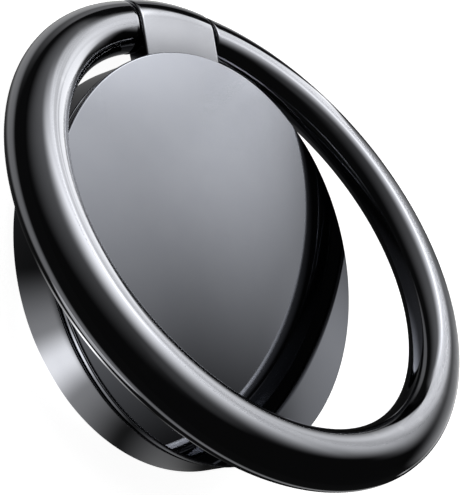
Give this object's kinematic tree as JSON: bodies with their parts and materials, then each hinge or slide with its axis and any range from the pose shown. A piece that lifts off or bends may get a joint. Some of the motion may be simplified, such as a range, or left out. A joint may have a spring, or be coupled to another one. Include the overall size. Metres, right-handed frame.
{
  "type": "phone ring holder",
  "caption": "Round stick-on phone grip with a mirror-flat disc on a swivelling body and a polished finger ring that flips on a friction hinge at the rim.",
  "frame": {"origin": "centre of the adhesive pad's sticky face", "axes": "+Z out of the mirror face, away from the phone; +Y from the swivel axis to the hinge; X along the hinge pin"},
  "size_m": [0.04, 0.0377, 0.0166],
  "materials": {
    "ring_plating": "polished black plating",
    "body_plating": "polished black plating",
    "cover_mirror": "flat mirror polish, black plating",
    "inner_steel": "plain satin",
    "nylon": "matte",
    "adhesive": "matte foam tape"
  },
  "bodies": {
    "base": {"adhesive_pad": "adhesive", "base_plate": "inner_steel", "pivot_rivet": "inner_steel", "friction_washer": "nylon", "retainer_washer": "inner_steel"},
    "swivel": {"swivel_body": "body_plating", "cover_plate": "cover_mirror", "disc_spring": "inner_steel", "friction_sleeve": "inner_steel", "hinge_washer_left": "nylon", "hinge_washer_right": "nylon"},
    "ring": {"finger_ring": "ring_plating", "hinge_pin": "inner_steel"}
  },
  "joints": [
    {"name": "body_swivel", "type": "hinge", "parent": "base", "child": "swivel", "pos_m": [0, 0, 0], "axis": [0, 0, 1], "continuous": true},
    {"name": "ring_flip", "type": "hinge", "parent": "swivel", "child": "ring", "pos_m": [0, 0.01779, 0.00235], "axis": [-1, 0, 0], "range_deg": [-20.4, 159.6]}
  ]
}
